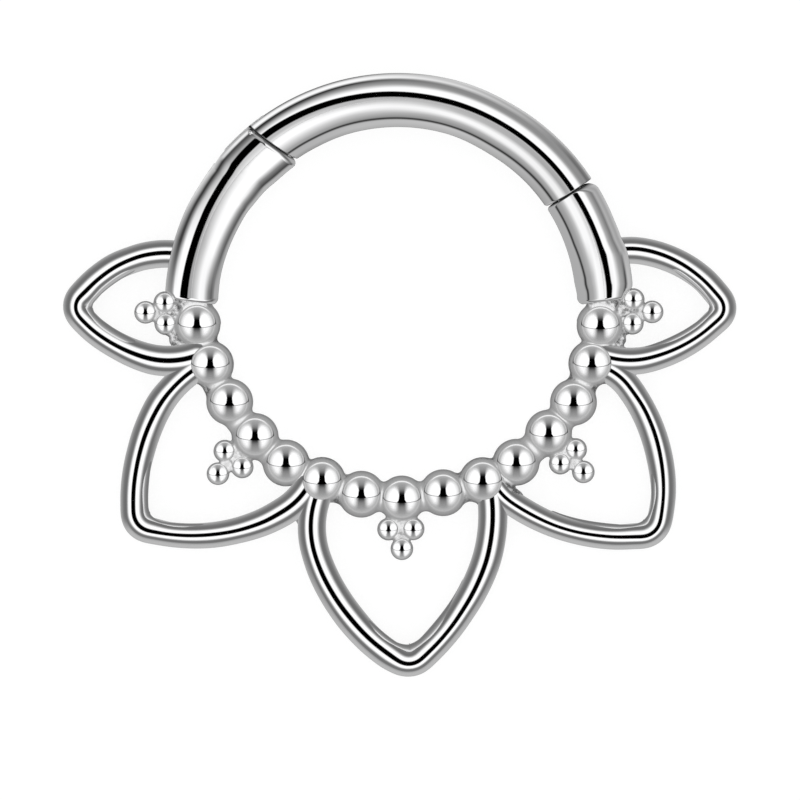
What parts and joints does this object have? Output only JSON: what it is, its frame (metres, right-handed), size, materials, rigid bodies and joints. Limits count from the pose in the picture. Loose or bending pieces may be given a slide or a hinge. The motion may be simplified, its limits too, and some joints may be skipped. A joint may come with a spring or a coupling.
{
  "type": "clicker ring",
  "caption": "Hinged segment clicker ring: a round polished tube that swings open on a hidden pin, with a row of domed beads, open pointed petals and small ball trios below.",
  "frame": {"origin": "centre of the ring opening, on the plane that the ring lies on", "axes": "the ring plane is XY; +Z points out of the decorated front and is the hinge pin's direction; +Y points from the petals towards the hinged segment; +X points to the closing seam's side"},
  "size_m": [0.0151, 0.0135, 0.0012],
  "materials": {
    "polished_steel": "mirror polished",
    "pin_steel": "ground"
  },
  "bodies": {
    "ring": {"ring_body": "polished_steel", "hinge_pin": "pin_steel"},
    "segment": {"hinged_segment": "polished_steel"}
  },
  "joints": [
    {"name": "segment_hinge", "type": "hinge", "parent": "ring", "child": "segment", "pos_m": [-0.00368, 0.00331, 0.00062], "axis": [0, 0, 1], "range_deg": [0, 110]}
  ]
}
